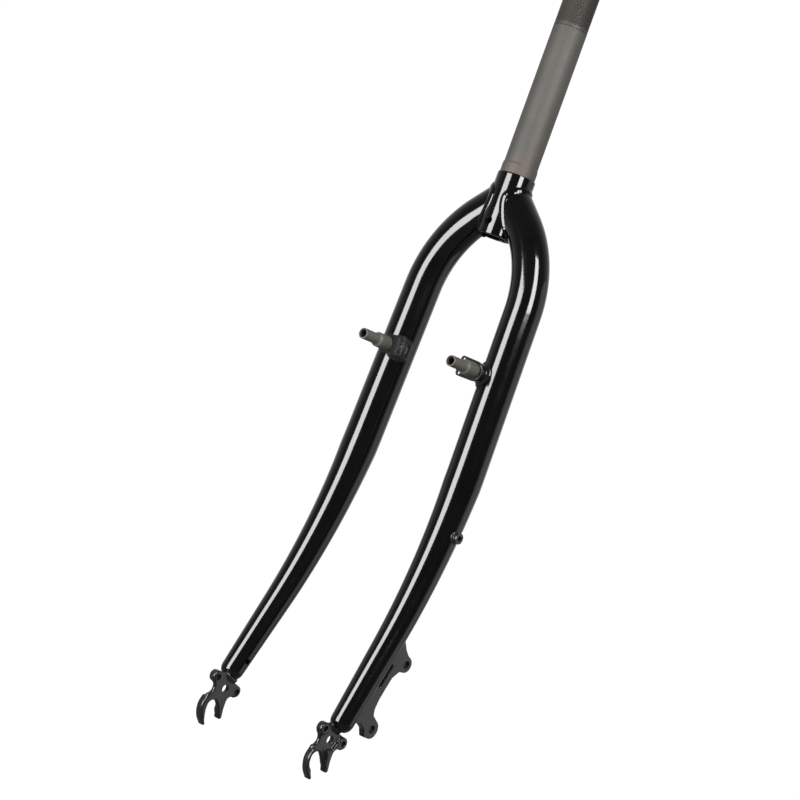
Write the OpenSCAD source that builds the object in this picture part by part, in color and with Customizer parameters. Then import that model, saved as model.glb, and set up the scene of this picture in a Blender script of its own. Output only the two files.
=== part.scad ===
// Rigid steel bicycle fork with rim brake studs, a disc brake tab and a threaded steerer.
// Frame: +Z up along the steerer, front of the bicycle is -Y, rider's left is +X.
// Z = 0 is the plane on top of the crown sleeve where the crown race seat starts.

/* [Steerer] */
// Outside diameter of the steerer tube
steerer_d = 25.4; // [25:0.1:26]
// Inside diameter of the steerer tube, for a quill stem
steerer_bore = 22.2; // [21:0.1:22.6]
// Height of the steerer above the crown sleeve
steerer_top = 165; // [140:1:220]
// Depth of the steerer inside the crown sleeve
steerer_sunk = 44.5; // [43:0.5:46]
// Diameter of the crown race seat
seat_d = 26.4; // [26.2:0.1:27]
// Height of the crown race seat
seat_h = 7; // [4:0.5:12]
// Length of the threaded end of the steerer
thread_len = 51; // [30:1:70]
// Width of the keyway for the lock washer at the back of the thread
key_w = 3; // [2:0.5:4]
// Depth of the keyway
key_d = 0.9; // [0.5:0.1:1]

/* [Crown] */
// Length of the crown sleeve
sleeve_len = 47; // [46.5:0.5:54]
// Wall of the crown sleeve
sleeve_wall = 1.55; // [1.2:0.05:2.5]
// Diameter of the mudguard bolt hole through the crown
crown_hole_d = 6.2; // [4:0.1:7]
// Depth of the mudguard bolt hole below the top of the sleeve
crown_hole_drop = 37.5; // [34:0.5:38]

/* [Blades] */
// Diameter of a blade above its taper
blade_d = 27.3; // [25:0.1:27.6]
// Diameter of a blade at its lower end
blade_tip_d = 16.7; // [15:0.1:18]
// Wall of the blade tube
blade_wall = 1.4; // [1:0.1:2]
// Radius of the bend under the crown
crown_bend_r = 88.8; // [85:0.2:92]
// Angle of the blade root from the vertical
root_angle = 47.3; // [46:0.1:49]
// Distance from the axis at which the crown bend starts
root_x = 18.9; // [18:0.1:19.5]
// Depth at which the crown bend starts
root_drop = 32.1; // [31.5:0.1:33]
// Depth at which the forward bend starts
rake_drop = 209.4; // [205:0.5:215]
// Radius of the forward bend
rake_bend_r = 455; // [430:5:480]
// Depth at which the taper starts
taper_drop = 225; // [215:1:240]
// Vent hole diameter near the lower end
vent_d = 4; // [3:0.1:5]

/* [Wheel] */
// Width over the locknuts of the front hub
hub_w = 100; // [98:0.5:103]
// Side play between the hub and the dropouts together
hub_play = 1; // [0:0.1:1.5]
// Depth of the axle below the crown race seat
axle_drop = 431.8; // [428:0.2:436]
// Distance of the axle in front of the steerer axis
rake = 57.3; // [54:0.1:60]
// Diameter of the axle seat in the dropout
axle_slot_d = 10; // [9.6:0.1:10.4]

/* [Dropouts] */
// Thickness of the dropout web
web_t = 3.6; // [3.2:0.1:4.2]
// Thickness of the dropout at the eyelets and the retaining lip
lip_t = 6; // [5:0.1:6.5]
// Diameter of the flat inside the retaining lip
recess_d = 16.4; // [15:0.1:16.6]
// Outside diameter of the dropout around the axle
hook_d = 20.6; // [20:0.1:22]
// Outside diameter of an eyelet
eyelet_d = 9; // [8.4:0.1:9.6]
// Tapping diameter of the threaded eyelets and bosses
tap_d = 4.2; // [4:0.1:4.5]
// Diameter of the window in the middle of the dropout
window_d = 6.8; // [5:0.1:8.8]
// Diameter of the raised pad that the hub locknut bears on
hub_pad_d = 19; // [18:0.1:19.6]
// Height of that pad
hub_pad_h = 0.4; // [0.2:0.05:0.8]

/* [Rim brake] */
// Distance between the two brake studs
stud_span = 83.6; // [82:0.1:85]
// Depth of the brake studs below the crown race seat
stud_drop = 144.9; // [142:0.1:148]
// Distance of the stud tip in front of the steerer axis
stud_reach = 52.4; // [51:0.1:54]
// Diameter of the pivot of a brake stud
pivot_d = 8; // [7.5:0.1:8.2]
// Length of the pivot
pivot_len = 15.4; // [14:0.1:16.5]
// Diameter of the shoulder behind the pivot
shoulder_d = 10.8; // [10:0.1:12]
// Diameter of the bolt bore in the stud tip
stud_bore_d = 5; // [4.8:0.1:5.4]
// Depth of the bolt bore
stud_bore_len = 14; // [10:0.5:18]
// Thickness of the spring plate
plate_t = 2.2; // [1.8:0.1:2.6]
// Diameter of the spring holes
spring_hole_d = 2.9; // [2.4:0.1:3.2]
// Diameter of the brake boss between the plate and the blade
boss_d = 12; // [11:0.1:13]

/* [Disc brake tab] */
// Distance between the two holes of the disc brake tab
tab_pitch = 51; // [50.5:0.1:51.5]
// Diameter of the holes of the disc brake tab
tab_hole_d = 6.4; // [6:0.1:7]
// Thickness of the disc brake tab
tab_t = 5; // [4:0.1:6]

/* [Hose boss] */
// Depth of the threaded boss on the outer side of the left blade
hose_drop = 259; // [250:0.5:270]
// Diameter of the hose boss
hose_d = 8; // [7.4:0.1:9]
// Height of the hose boss above the blade
hose_h = 3.2; // [2.5:0.1:4]

/* [Hidden] */
// Clearance of every brazed fit, on the radius or on a face
braze_gap = 0.05;
$fn = 96;

black_paint = [0.05, 0.05, 0.055];
bare_steel = [0.47, 0.46, 0.44];

sleeve_bore = steerer_d + 2 * braze_gap;
sleeve_d = sleeve_bore + 2 * sleeve_wall;
edge = 0.8;
seat_run = 1.5;
overrun = 1;

// Blade centreline: its lower end is tip_up above the axle, tip_back behind it
// and tip_out outside the inner face of the dropout
crown_y = 1;
lean = 1.054;
tip_up = 22.5;
tip_back = 9.5;
tip_out = 4.8;
dome_len = 7;
dome_flat = 0.35;
sides = 28;
inner_sides = 18;
crown_steps = 9;
rake_steps = 11;
dome_steps = 3;
tip_drop = axle_drop - tip_up;
plate_x = (hub_w + hub_play) / 2;
web_x = plate_x + hub_pad_h;
tip_x = plate_x + tip_out;

function unit(v) = v / norm(v);
function lean_y(z) = crown_y + z * tan(lean);

// Splay of the straight blade, so that its lower end meets the dropout
function splay_from(s, k) = k == 0 ? s
    : splay_from(atan((tip_x - root_x - crown_bend_r * (cos(s) - cos(root_angle)))
        / (tip_drop - root_drop - crown_bend_r * (sin(root_angle) - sin(s)))), k - 1);
splay = splay_from(0, 8);

// Angle of the forward bend, so that the lower end stands behind the axle
rake_run = tip_drop - rake_drop;
rake_push = rake - tip_back + lean_y(-tip_drop);
function rake_from(b, k) = k == 0 ? b
    : rake_from(atan((rake_push - rake_bend_r * (1 - cos(b)))
        / (rake_run - rake_bend_r * sin(b))), k - 1);
rake_angle = rake_from(10, 12);

arc_x = root_x + crown_bend_r * (cos(splay) - cos(root_angle));
arc_z = -root_drop - crown_bend_r * (sin(root_angle) - sin(splay));

// Forward shift of the centreline at depth d below the start of the forward bend
function shift(d) = d <= 0 ? 0
    : d < rake_bend_r * sin(rake_angle) ? rake_bend_r - sqrt(pow(rake_bend_r, 2) - d * d)
    : rake_bend_r * (1 - cos(rake_angle)) + (d - rake_bend_r * sin(rake_angle)) * tan(rake_angle);
function blade_x(z) = arc_x + (arc_z - z) * tan(splay);
function blade_y(z) = lean_y(z) - shift(-rake_drop - z);
function blade_pt(z) = [blade_x(z), blade_y(z), z];

// Radius of the tapering blade
taper_power = 0.84;
function taper(z) = let (u = min(1, max(0, (-taper_drop - z) / (tip_drop - taper_drop))))
    blade_d / 2 - (blade_d - blade_tip_d) / 2 * pow(u, taper_power);

function arc_pt(a) = let (z = -root_drop - crown_bend_r * (sin(root_angle) - sin(a)))
    [root_x + crown_bend_r * (cos(a) - cos(root_angle)), lean_y(z), z];
root_start = 2;
root_z = -root_drop + (root_x - root_start) / tan(root_angle);
root_pt = [root_start, lean_y(root_z), root_z];
upper_path = concat([root_pt],
    [for (i = [0 : crown_steps]) arc_pt(root_angle + (splay - root_angle) * i / crown_steps)],
    [for (k = [0.2, 0.6]) blade_pt(arc_z + (-rake_drop - arc_z) * k)]);

function lower_z(stop, steps) = [for (i = [0 : steps]) -rake_drop - (stop - rake_drop) * i / steps];
dome_top = tip_drop - dome_len;
shell_z = lower_z(dome_top, rake_steps);
core_z = lower_z(dome_top - 0.86 * dome_len, rake_steps);
dome_turn = [for (i = [1 : dome_steps]) 90 * i / dome_steps];

shell_path = concat(upper_path, [for (z = shell_z) blade_pt(z)],
    [for (a = dome_turn) blade_pt(-dome_top - dome_len * sin(a))]);
shell_r = concat([for (p = upper_path) blade_d / 2], [for (z = shell_z) taper(z)],
    [for (a = dome_turn) taper(-dome_top) * (dome_flat + (1 - dome_flat) * cos(a))]);
core_path = concat(upper_path, [for (z = core_z) blade_pt(z)]);
core_r = concat([for (p = upper_path) blade_d / 2 - blade_wall], [for (z = core_z) taper(z) - blade_wall]);

function tangent(path, i) = unit(path[min(i + 1, len(path) - 1)] - path[max(i - 1, 0)]);
function ring(p, t, r, n) = let (u = unit(cross([0, 1, 0], t)), v = cross(t, u))
    [for (i = [0 : n - 1]) p + r * (cos(360 * i / n) * u + sin(360 * i / n) * v)];

// Tube of round sections along a path
module sweep(path, radii, n) {
    last = len(path) - 1;
    points = [for (i = [0 : last]) each ring(path[i], tangent(path, i), radii[i], n)];
    walls = [for (i = [0 : last - 1]) for (j = [0 : n - 1])
        let (a = i * n + j, b = i * n + (j + 1) % n)
        each [[a, a + n, b + n], [a, b + n, b]]];
    start = [[for (j = [0 : n - 1]) j]];
    end = [[for (j = [n - 1 : -1 : 0]) last * n + j]];
    polyhedron(points, concat(walls, start, end));
}

module blade_shell() {
    sweep(shell_path, shell_r, sides);
}

// Flat shape in the plane seen from the side of the bicycle, thickened along X from x
module side_plate(x, t) {
    translate([x, 0, 0]) rotate([90, 0, 90]) linear_extrude(t) children();
}

module either(right) {
    if (right) mirror([1, 0, 0]) children();
    else children();
}

// Dropout outline, measured from the axle: first number to the rear, second up
axle = [-rake, -axle_drop];
front_eye = axle + [-4.2, 21.9];
rear_eye = axle + [19.8, 13.8];
window = axle + [7.2, 14.4];
eye_r = eyelet_d / 2;
slot_r = axle_slot_d / 2;
hook_r = hook_d / 2;
finger_tip = axle + [12.5, -6.4];
finger_r = 1.8;
finger_side = 13;
fillet_r = 4;
finger_fillet = [axle[0] + finger_side + fillet_r, rear_eye[1] - eye_r - fillet_r];
hook_tip = [-1.6, -14.2];
slot_tip = [-0.3, -13.1];
hook_end = [-1.7, -13.1];
hook_end_r = 1.5;
tip_dir = [sin(lean + rake_angle), cos(lean + rake_angle)];
tongue_w = 11;
tongue_len = 20;
tip_yz = [blade_y(-tip_drop), -tip_drop];
tongue_top = tip_yz + tip_dir * tongue_len;
tongue_side = [tip_dir[1], -tip_dir[0]] * tongue_w / 2;

// Centre offset of the arc that starts upright at -start and passes through end
function arc_shift(start, end) = (end * end - start * start) / (2 * (start + end[0]));
module arc_disc(start, end) {
    c = arc_shift(start, end);
    translate(axle + [c, 0]) circle(c + start);
}

// Hook in front of the axle, bounded outside by one arc
module hook_outline() {
    intersection() {
        arc_disc(hook_r, hook_tip);
        translate(axle) polygon([
            [-2 * hook_r, 0],
            [2, 0],
            [2, slot_tip[1]],
            hook_end,
            hook_end - [3, 0.9]
        ]);
    }
    translate(axle + hook_end) circle(hook_end_r);
}

module web_outline() {
    difference() {
        union() {
            translate(front_eye) circle(eye_r);
            translate(rear_eye) circle(eye_r);
            translate(axle) circle(hook_r);
            polygon([
                front_eye + [2.4, eye_r * 0.84],
                tip_yz - tongue_side + tip_dir * 1.5,
                tongue_top - tongue_side,
                tongue_top + tongue_side,
                tip_yz + tongue_side + tip_dir * 2,
                rear_eye + [-5.4, eye_r + 2.4],
                rear_eye + [0, eye_r],
                rear_eye + [0, -eye_r],
                axle + [6, 4],
                axle + [-hook_r + 1.2, 3],
                front_eye + [-2.4, -eye_r * 0.84]
            ]);
            hook_outline();
            polygon([
                axle + [0, 2],
                rear_eye + [0, -eye_r],
                finger_fillet,
                axle + [finger_side, finger_fillet[1] - axle[1]],
                axle + [finger_side + 0.2, -0.8],
                finger_tip + [finger_r - 0.1, 0.6],
                finger_tip - [finger_r, 0],
                axle + [2, -4]
            ]);
            translate(finger_tip) circle(finger_r);
        }
        translate(finger_fillet) circle(fillet_r);
        translate(front_eye + [-4.4, -eye_r - 3.9]) circle(4.6);
        translate(rear_eye + [-2.6, eye_r + 4.6]) circle(3.6);
    }
}

// Open slot that the axle drops out of, wider towards its mouth
module slot_outline() {
    translate(axle) circle(slot_r);
    intersection() {
        arc_disc(slot_r, slot_tip);
        translate(axle) polygon([
            [-2 * slot_r, 0],
            [-2 * slot_r, -18],
            [10.8, -18],
            [10.8, -7],
            [10.6, -5.6],
            [6, 1],
            [3.6, slot_r - 1.6],
            [0, 0]
        ]);
    }
}

module lip_outline() {
    intersection() {
        difference() {
            web_outline();
            translate(axle) circle(recess_d / 2);
        }
        translate(axle) polygon([
            [-20, -20],
            [30, -20],
            [30, rear_eye[1] - axle[1]],
            [14, rear_eye[1] - axle[1]],
            [11, 8.4],
            [4, 7],
            [-20, 7]
        ]);
    }
}

module hub_pad_outline() {
    intersection() {
        web_outline();
        translate(axle) circle(hub_pad_d / 2);
    }
}

module dropout() {
    difference() {
        union() {
            side_plate(web_x, web_t - hub_pad_h) web_outline();
            side_plate(web_x, lip_t - hub_pad_h) lip_outline();
            side_plate(plate_x, web_t) hub_pad_outline();
            for (eye = [front_eye, rear_eye])
                side_plate(web_x, lip_t - hub_pad_h) translate(eye) circle(eye_r);
        }
        side_plate(plate_x - overrun, lip_t + 2 * overrun) slot_outline();
        side_plate(plate_x - overrun, lip_t + 2 * overrun) translate(window) circle(window_d / 2);
        for (eye = [front_eye, rear_eye])
            side_plate(plate_x - overrun, lip_t + 2 * overrun) translate(eye) circle(tap_d / 2);
    }
}

// Hose boss on the disc brake side
hose_z = -hose_drop;
hose_skin = blade_x(hose_z) + taper(hose_z);
hose_shank_d = hose_d - 1.4;
module along_x(d, x0, x1) {
    translate([x0, blade_y(hose_z), hose_z]) rotate([0, 90, 0]) cylinder(h = x1 - x0, d = d);
}
module hose_boss() {
    difference() {
        union() {
            difference() {
                along_x(hose_d, hose_skin - 3, hose_skin + hose_h);
                blade_shell();
            }
            along_x(hose_shank_d, hose_skin - 5, hose_skin + 1);
        }
        along_x(tap_d, hose_skin - 5 - overrun, hose_skin + hose_h + overrun);
    }
}

vent_up = 15;
module blade(with_boss) {
    vent_z = -tip_drop + vent_up;
    difference() {
        blade_shell();
        sweep(core_path, core_r, inner_sides);
        translate([0, 0, -sleeve_len - overrun]) cylinder(h = sleeve_len + 2 * overrun, d = sleeve_d);
        side_plate(web_x - braze_gap, web_t - hub_pad_h + 2 * braze_gap) web_outline();
        translate([blade_x(vent_z), blade_y(vent_z), vent_z]) rotate([0, -90, 0])
            cylinder(h = blade_tip_d, d = vent_d);
        if (with_boss) along_x(hose_shank_d + 2 * braze_gap, hose_skin - 6, hose_skin + overrun);
    }
}

// Brake stud, spring plate and boss; forward distances are measured from the steerer axis
stud_x = stud_span / 2;
shoulder_len = 12.8;
plate_front = stud_reach - pivot_len - shoulder_len;
plate_back = plate_front - plate_t;
shank_d = 7;
shank_back = plate_back - 4;
cone_len = 1.4;
mouth = 0.8;
module at_stud() {
    translate([stud_x, 0, -stud_drop]) rotate([90, 0, 0]) children();
}
module brake_stud() {
    tip = stud_reach;
    at_stud() difference() {
        rotate_extrude() polygon([
            [0, shank_back],
            [shank_d / 2 - braze_gap, shank_back],
            [shank_d / 2 - braze_gap, plate_front],
            [shoulder_d / 2, plate_front],
            [shoulder_d / 2, tip - pivot_len - cone_len],
            [pivot_d / 2, tip - pivot_len],
            [pivot_d / 2, tip - mouth / 2],
            [pivot_d / 2 - mouth / 2, tip],
            [0, tip]
        ]);
        translate([0, 0, tip - stud_bore_len]) cylinder(h = stud_bore_len + overrun, d = stud_bore_d);
        translate([0, 0, tip - mouth]) cylinder(h = mouth, d1 = stud_bore_d, d2 = stud_bore_d + 2 * mouth);
    }
}

// Spring plate: a round hub and an arm of three holes towards the wheel
spring_r = 13.2;
spring_mid = 3.6;
spring_step = 22.6;
arm_r = 2.4;
plate_hub_r = 7.3;
function polar(r, a) = [-r * cos(a), r * sin(a)];
// Direction from the hub centre to where the tangent line shared with an ear touches the hub
function tangent_dir(a, side) = a + side * acos((plate_hub_r - arm_r) / spring_r);
module arm_outline() {
    first = spring_mid - spring_step;
    final = spring_mid + spring_step;
    polygon([
        [0, 0],
        polar(plate_hub_r, tangent_dir(first, -1)),
        polar(spring_r, first) + polar(arm_r, tangent_dir(first, -1)),
        polar(spring_r, first),
        polar(spring_r, final),
        polar(spring_r, final) + polar(arm_r, tangent_dir(final, 1)),
        polar(plate_hub_r, tangent_dir(final, 1))
    ]);
}
module plate_layer(t) {
    translate([0, 0, plate_back]) linear_extrude(t) children();
}
module arm_tip_outline() {
    intersection() {
        circle(spring_r + arm_r - 0.15);
        polygon([
            [0, 0],
            polar(2 * spring_r, spring_mid - spring_step),
            polar(2 * spring_r, spring_mid + spring_step)
        ]);
    }
}
module spring_plate() {
    at_stud() difference() {
        union() {
            plate_layer(plate_t) circle(plate_hub_r);
            plate_layer(plate_t) arm_outline();
            plate_layer(plate_t) arm_tip_outline();
            for (i = [-1, 1]) plate_layer(plate_t)
                translate(polar(spring_r, spring_mid + i * spring_step)) circle(arm_r);
        }
        translate([0, 0, -overrun]) plate_layer(plate_t + 2 * overrun) circle(shank_d / 2);
        for (i = [-1 : 1]) translate([0, 0, -overrun]) plate_layer(plate_t + 2 * overrun)
            translate(polar(spring_r, spring_mid + i * spring_step)) circle(spring_hole_d / 2);
    }
}

foot_d = 17;
foot_rise = 5.5;
foot_back = 11;
module brake_boss() {
    difference() {
        at_stud() difference() {
            rotate_extrude() polygon([
                [0, foot_back - 3],
                [foot_d / 2 - 1, foot_back - 3],
                [foot_d / 2, foot_back],
                [foot_d / 2, foot_back + 1],
                [boss_d / 2, foot_back + foot_rise],
                [boss_d / 2, plate_back],
                [0, plate_back]
            ]);
            translate([0, 0, shank_back - 0.2])
                cylinder(h = plate_back - shank_back + overrun, d = shank_d);
        }
        blade_shell();
    }
}

// Disc brake tab behind the left blade
tab_low = axle + [45.1, 27.3];
tab_dir = unit([12.9, 51.2]);
tab_high = tab_low + tab_pitch * tab_dir;
tab_x = plate_x + 0.5;
low_r = 7;
high_r = 5.9;
// Point on the rear side of the blade at height z, moved to the rear by out
function rear_pt(z, out) = [blade_y(z) + out, z];
slit_top = tab_high[1] - 3.5;
slit_low = slit_top - 15;
slit_w = 2.6;
slit_out = 15.5;
web_top = tab_high[1] + 18;
web_low = tab_low[1] + 2.5;
web_in = 6;
module tab_web() {
    polygon([
        rear_pt(web_top, web_in),
        rear_pt(web_top, 12.4),
        tab_high + [-5.2, 10.4],
        tab_high + [-1, high_r + 1],
        tab_high + [2.6, 5.2],
        tab_high,
        tab_high + [0.8, -5.7],
        tab_high + [-5.2, -6.2],
        tab_high + [-10, -11],
        tab_high + [-13.2, -20],
        tab_high + [-15.7, -28],
        tab_high + [-16.7, -35],
        tab_high + [-15.4, -39.5],
        tab_low + [3.2, 6.1],
        tab_low,
        tab_low + [0.4, 0.2 - low_r],
        tab_low + [-5.6, -6.4],
        tab_low + [-8.8, -1],
        tab_low + [-14, 2],
        rear_pt(web_low, web_in)
    ]);
}
module slit() {
    top = rear_pt(slit_top, slit_out);
    low = rear_pt(slit_low, slit_out);
    across = [cos(lean + rake_angle), -sin(lean + rake_angle)] * slit_w / 2;
    translate(top) circle(slit_w / 2);
    translate(low) circle(slit_w / 2);
    polygon([top - across, top + across, low + across, low - across]);
}
module disc_tab() {
    difference() {
        union() {
            side_plate(tab_x, tab_t) tab_web();
            side_plate(tab_x, tab_t) translate(tab_high) circle(high_r);
            side_plate(tab_x, tab_t) translate(tab_low) circle(low_r);
        }
        side_plate(tab_x - overrun, tab_t + 2 * overrun) slit();
        for (hole = [tab_high, tab_low])
            side_plate(tab_x - overrun, tab_t + 2 * overrun) translate(hole) circle(tab_hole_d / 2);
        blade_shell();
    }
}

module crown_cross_hole() {
    translate([0, sleeve_d, -crown_hole_drop]) rotate([90, 0, 0])
        cylinder(h = 2 * sleeve_d, d = crown_hole_d);
}

module steerer() {
    outer = steerer_d / 2;
    inner = steerer_bore / 2;
    difference() {
        rotate_extrude() polygon([
            [inner, -steerer_sunk],
            [outer, -steerer_sunk],
            [outer, 0],
            [seat_d / 2, 0],
            [seat_d / 2, seat_h],
            [outer, seat_h + seat_run],
            [outer, steerer_top - edge],
            [outer - edge, steerer_top],
            [inner, steerer_top]
        ]);
        crown_cross_hole();
        translate([-key_w / 2, outer - key_d, steerer_top - thread_len])
            cube([key_w, 2 * key_d, thread_len + overrun]);
    }
}

module sleeve() {
    outer = sleeve_d / 2;
    difference() {
        rotate_extrude() polygon([
            [sleeve_bore / 2, -sleeve_len],
            [outer - edge / 2, -sleeve_len],
            [outer, -sleeve_len + edge / 2],
            [outer, -edge],
            [outer - edge, 0],
            [sleeve_bore / 2, 0]
        ]);
        crown_cross_hole();
    }
}

module steerer_tube() { color(bare_steel) steerer(); }
module crown_sleeve() { color(black_paint) sleeve(); }
module left_blade() { color(black_paint) blade(true); }
module right_blade() { color(black_paint) either(true) blade(false); }
module left_dropout() { color(black_paint) dropout(); }
module right_dropout() { color(black_paint) either(true) dropout(); }
module left_brake_boss() { color(black_paint) brake_boss(); }
module right_brake_boss() { color(black_paint) either(true) brake_boss(); }
module left_spring_plate() { color(black_paint) spring_plate(); }
module right_spring_plate() { color(black_paint) either(true) spring_plate(); }
module left_brake_stud() { color(bare_steel) brake_stud(); }
module right_brake_stud() { color(bare_steel) either(true) brake_stud(); }
module left_disc_tab() { color(black_paint) disc_tab(); }
module hose_guide_boss() { color(black_paint) hose_boss(); }

steerer_tube();
crown_sleeve();
left_blade();
right_blade();
left_dropout();
right_dropout();
left_brake_boss();
right_brake_boss();
left_spring_plate();
right_spring_plate();
left_brake_stud();
right_brake_stud();
left_disc_tab();  // disc_tab
hose_guide_boss();  // hose_boss
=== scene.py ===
"""Looks of a rigid steel bicycle fork with a bare, threaded steerer.

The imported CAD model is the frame. The tubes that would show facets get smooth bodies of the same
size, the forged and machined pieces get softened edges, the welds get their beads, and every
finish is a procedural material. All sizes are in millimetres and become metres in the meshes.
"""

import logging
import math
from dataclasses import dataclass
from enum import Enum
from functools import partial
from typing import Callable, Sequence

import bmesh
import bpy
from mathutils import Matrix, Vector


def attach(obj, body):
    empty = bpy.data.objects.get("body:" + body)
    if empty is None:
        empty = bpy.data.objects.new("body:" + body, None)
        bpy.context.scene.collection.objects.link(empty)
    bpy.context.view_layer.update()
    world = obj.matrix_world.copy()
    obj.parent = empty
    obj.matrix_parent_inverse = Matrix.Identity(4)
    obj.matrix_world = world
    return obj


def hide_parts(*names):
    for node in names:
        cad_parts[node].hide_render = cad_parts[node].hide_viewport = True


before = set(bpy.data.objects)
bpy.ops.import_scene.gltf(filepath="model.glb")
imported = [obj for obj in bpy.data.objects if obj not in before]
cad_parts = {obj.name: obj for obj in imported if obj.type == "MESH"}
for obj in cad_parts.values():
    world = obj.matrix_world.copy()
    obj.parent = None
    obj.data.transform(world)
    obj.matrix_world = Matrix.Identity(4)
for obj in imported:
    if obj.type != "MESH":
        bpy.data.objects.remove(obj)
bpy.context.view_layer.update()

log = logging.getLogger("fork")
MM = 0.001
BODY = "root"

# Metres within which two points of a CAD mesh are one.
SAME_POINT = 2e-6
# Sides of the round tools that cut holes.
DRILL_SIDES = 48
# Millimetres that a tool stands out of its hole, and that a plug reaches into the wall.
OVERRUN = 1.0
PLUG_MARGIN = 0.3

Pair = tuple[float, float]
Colour = tuple[float, float, float, float]
Hole = tuple[Vector, Vector, float, Pair]
Builder = Callable[[bmesh.types.BMesh], object]
Heading = Callable[[Vector], Vector]


class Side(Enum):
    """Side of the bicycle, with the sign of its X."""

    LEFT = 1
    RIGHT = -1

    @property
    def word(self) -> str:
        """Name of the side as the CAD nodes spell it."""
        return self.name.lower()


class Slot(Enum):
    """Material slots of the record."""

    BLADE = "blade_paint"
    SLEEVE = "sleeve_paint"
    DROPOUT = "dropout_paint"
    FITTING = "fitting_paint"
    STEERER = "steerer_steel"
    STUD = "stud_steel"


def linear(code: str) -> Colour:
    """Turns an sRGB hex colour into linear red, green, blue and alpha.

    Args:
        code: Six hex digits after a hash sign.

    Returns:
        The four linear values.
    """
    parts = [int(code[i : i + 2], 16) / 255 for i in (1, 3, 5)]
    turned = [p / 12.92 if p <= 0.04045 else ((p + 0.055) / 1.055) ** 2.4 for p in parts]
    return turned[0], turned[1], turned[2], 1.0


def add(
    tree: bpy.types.NodeTree,
    kind: str,
    settings: dict | None = None,
    links: dict | None = None,
) -> bpy.types.Node:
    """Adds one node with its settings and its incoming links.

    Args:
        tree: Node tree that gets the node.
        kind: Type name of the node.
        settings: Values of properties or of inputs, by name or number.
        links: Output sockets to connect, by the name or number of the input.

    Returns:
        The new node.
    """
    node = tree.nodes.new(kind)
    for key, value in (settings or {}).items():
        if isinstance(key, str) and hasattr(node, key):
            setattr(node, key, value)
        else:
            node.inputs[key].default_value = value
    for key, socket in (links or {}).items():
        tree.links.new(socket, node.inputs[key])
    return node


def ramp(node: bpy.types.Node, stops: Sequence[tuple[float, Colour]]) -> bpy.types.Node:
    """Sets the stops of a colour ramp.

    Args:
        node: The colour ramp node.
        stops: Positions with their colours, in rising order.

    Returns:
        The same node.
    """
    elements = node.color_ramp.elements
    while len(elements) < len(stops):
        elements.new(0.5)
    for element, (place, colour) in zip(elements, stops):
        element.position = place
        element.color = colour
    return node


def fresh_material(
    name: str,
) -> tuple[bpy.types.Material, bpy.types.NodeTree, bpy.types.Node, bpy.types.Node]:
    """Makes an empty node material.

    Args:
        name: Name of the finish.

    Returns:
        The material, its tree, its shader and its coordinates node.
    """
    material = bpy.data.materials.new(name)
    material.use_nodes = True
    tree = material.node_tree
    tree.nodes.clear()
    shader = add(tree, "ShaderNodeBsdfPrincipled")
    add(tree, "ShaderNodeOutputMaterial", links={"Surface": shader.outputs[0]})
    place = add(tree, "ShaderNodeTexCoord")
    return material, tree, shader, place


def noise(
    tree: bpy.types.NodeTree, at: bpy.types.NodeSocket, size_mm: float, detail: float
) -> bpy.types.NodeSocket:
    """Adds a noise.

    Args:
        tree: Node tree that gets the noise.
        at: Its coordinates.
        size_mm: Size of its cells, in millimetres.
        detail: Number of its finer layers.

    Returns:
        The value of the noise.
    """
    settings = {"Scale": 1 / (size_mm * MM), "Detail": detail}
    return add(tree, "ShaderNodeTexNoise", settings, {"Vector": at}).outputs["Fac"]


def spread(
    tree: bpy.types.NodeTree, value: bpy.types.NodeSocket, source: Pair, target: Pair
) -> bpy.types.NodeSocket:
    """Takes a value from one range to another.

    Args:
        tree: Node tree that gets the node.
        value: Value to take over.
        source: Ends of the range that the value comes from.
        target: Ends of the range that it goes to.

    Returns:
        The new value.
    """
    ends = {"From Min": source[0], "From Max": source[1], "To Min": target[0], "To Max": target[1]}
    return add(tree, "ShaderNodeMapRange", ends, {"Value": value}).outputs["Result"]


def bump(
    tree: bpy.types.NodeTree,
    height: bpy.types.NodeSocket,
    height_mm: float,
    under: bpy.types.NodeSocket | None = None,
) -> bpy.types.NodeSocket:
    """Adds a relief.

    Args:
        tree: Node tree that gets the relief.
        height: Share of the full height.
        height_mm: Full height, in millimetres.
        under: Normal of the coarser relief that this one lies on.

    Returns:
        The normal of the relief.
    """
    links = {"Height": height} if under is None else {"Height": height, "Normal": under}
    made = add(tree, "ShaderNodeBump", {"Strength": 1.0, "Distance": height_mm * MM}, links)
    return made.outputs["Normal"]


@dataclass(frozen=True)
class GlossEnamel:
    """Sprayed and baked gloss enamel on steel: a deep black film that mirrors the lamps.

    The film flows almost level and keeps a faint orange peel, which makes the edges of a
    mirrored softbox tremble a little.
    """

    name: str
    colour: str = "#040404"
    thin: str = "#080808"
    cloud_mm: float = 34.0
    gloss: float = 0.085
    haze: float = 1.45
    haze_mm: float = 11.0
    peel_mm: float = 2.6
    peel_height_mm: float = 0.010
    grain_mm: float = 0.0
    grain_height_mm: float = 0.0

    def make(self) -> bpy.types.Material:
        """Builds the material."""
        material, tree, shader, place = fresh_material(self.name)
        at = place.outputs["Object"]
        tone = ramp(
            add(tree, "ShaderNodeValToRGB", links={"Fac": noise(tree, at, self.cloud_mm, 3.0)}),
            [(0.35, linear(self.colour)), (0.75, linear(self.thin))],
        )
        tree.links.new(tone.outputs["Color"], shader.inputs["Base Color"])
        haze = noise(tree, at, self.haze_mm, 5.0)
        rough = spread(tree, haze, (0.3, 0.75), (self.gloss, self.gloss * self.haze))
        tree.links.new(rough, shader.inputs["Roughness"])
        normal = bump(tree, noise(tree, at, self.peel_mm, 1.0), self.peel_height_mm)
        if self.grain_mm:
            normal = bump(tree, noise(tree, at, self.grain_mm, 4.0), self.grain_height_mm, normal)
        tree.links.new(normal, shader.inputs["Normal"])
        shader.inputs["Specular IOR Level"].default_value = 0.5
        shader.inputs["IOR"].default_value = 1.5
        return material


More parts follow.
